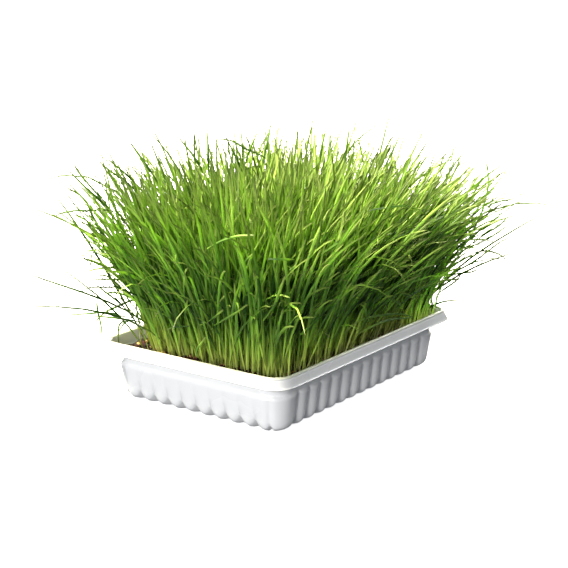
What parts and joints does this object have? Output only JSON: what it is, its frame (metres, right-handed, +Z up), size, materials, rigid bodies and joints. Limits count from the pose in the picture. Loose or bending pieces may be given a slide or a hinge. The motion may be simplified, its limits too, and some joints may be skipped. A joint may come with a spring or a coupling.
{
  "type": "wheatgrass tray",
  "caption": "Dense stand of young wheatgrass rooted in soil in a low rectangular white plastic tray with fluted walls and a rolled rim.",
  "frame": {"origin": "middle of the tray's foot, on the surface that the tray stands on", "axes": "+Z up; +X along the tray's long side; +Y along its short side"},
  "size_m": [0.4044, 0.3144, 0.2118],
  "materials": {
    "tray_plastic": "semi-matt white formed sheet",
    "soil": null,
    "wheat_leaf": null
  },
  "bodies": {
    "root": {"tray": "tray_plastic", "soil": "soil", "wheatgrass": "wheat_leaf"}
  },
  "joints": []
}
